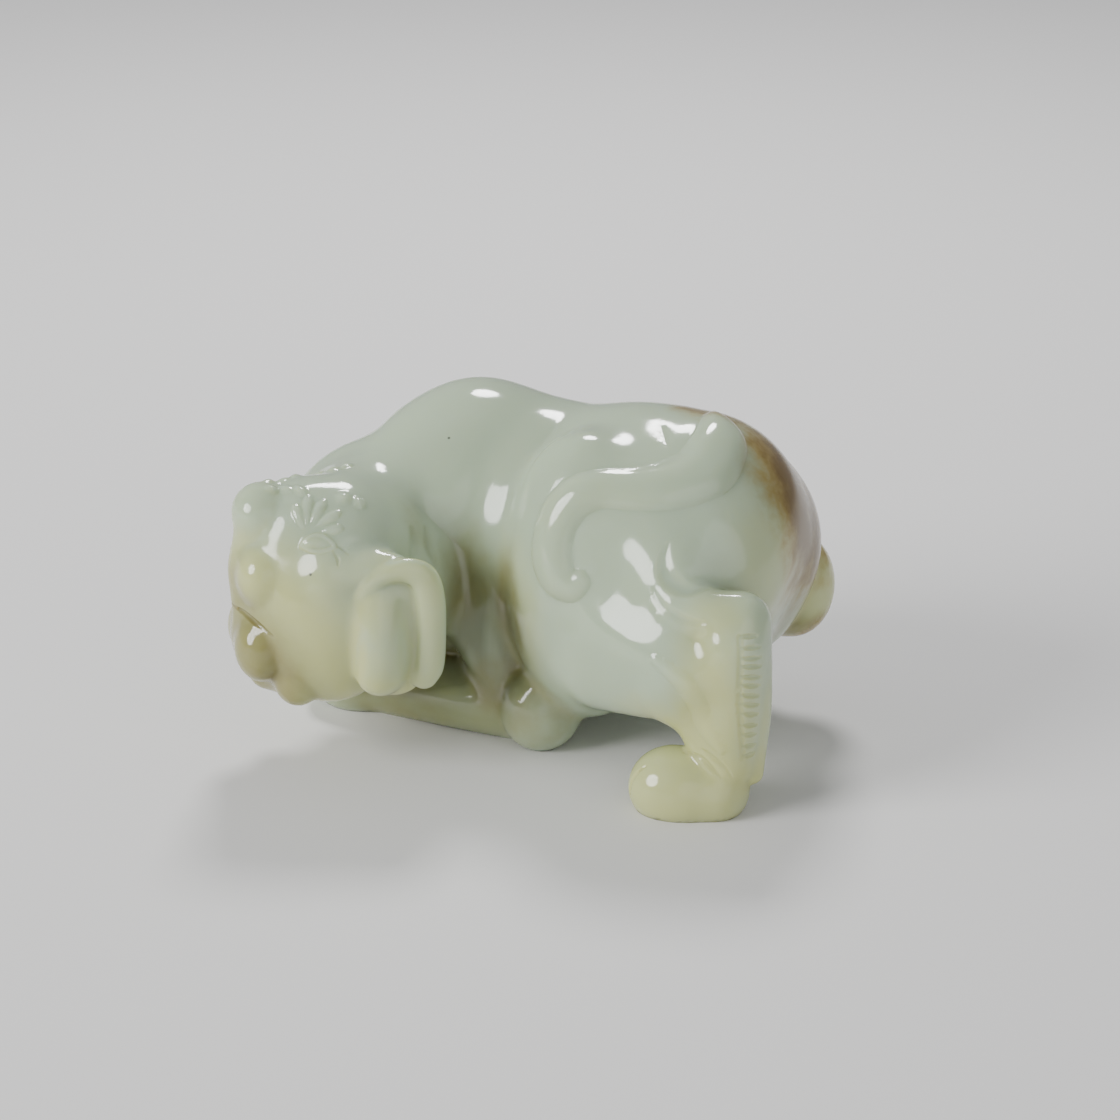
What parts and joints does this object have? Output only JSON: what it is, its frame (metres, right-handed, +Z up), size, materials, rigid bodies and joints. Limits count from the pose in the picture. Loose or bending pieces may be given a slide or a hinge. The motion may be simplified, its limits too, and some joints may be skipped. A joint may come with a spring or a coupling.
{
  "type": "crouching beast carving",
  "caption": "Palm-sized jade carving of a crouching lion-like beast, head turned to its left, tail laid over the haunch, combed hair behind the hind leg; stands on its paws and forelegs.",
  "frame": {"origin": "middle of the bounding box, on the plane the paws and forelegs rest on", "axes": "+X forward along the spine, +Y to the beast's left, where the head is turned, +Z up"},
  "size_m": [0.0578, 0.0458, 0.0362],
  "materials": {
    "jade": "polished pale celadon nephrite with russet skin on the far rump"
  },
  "bodies": {
    "root": {"carved_beast": "jade"}
  },
  "joints": []
}
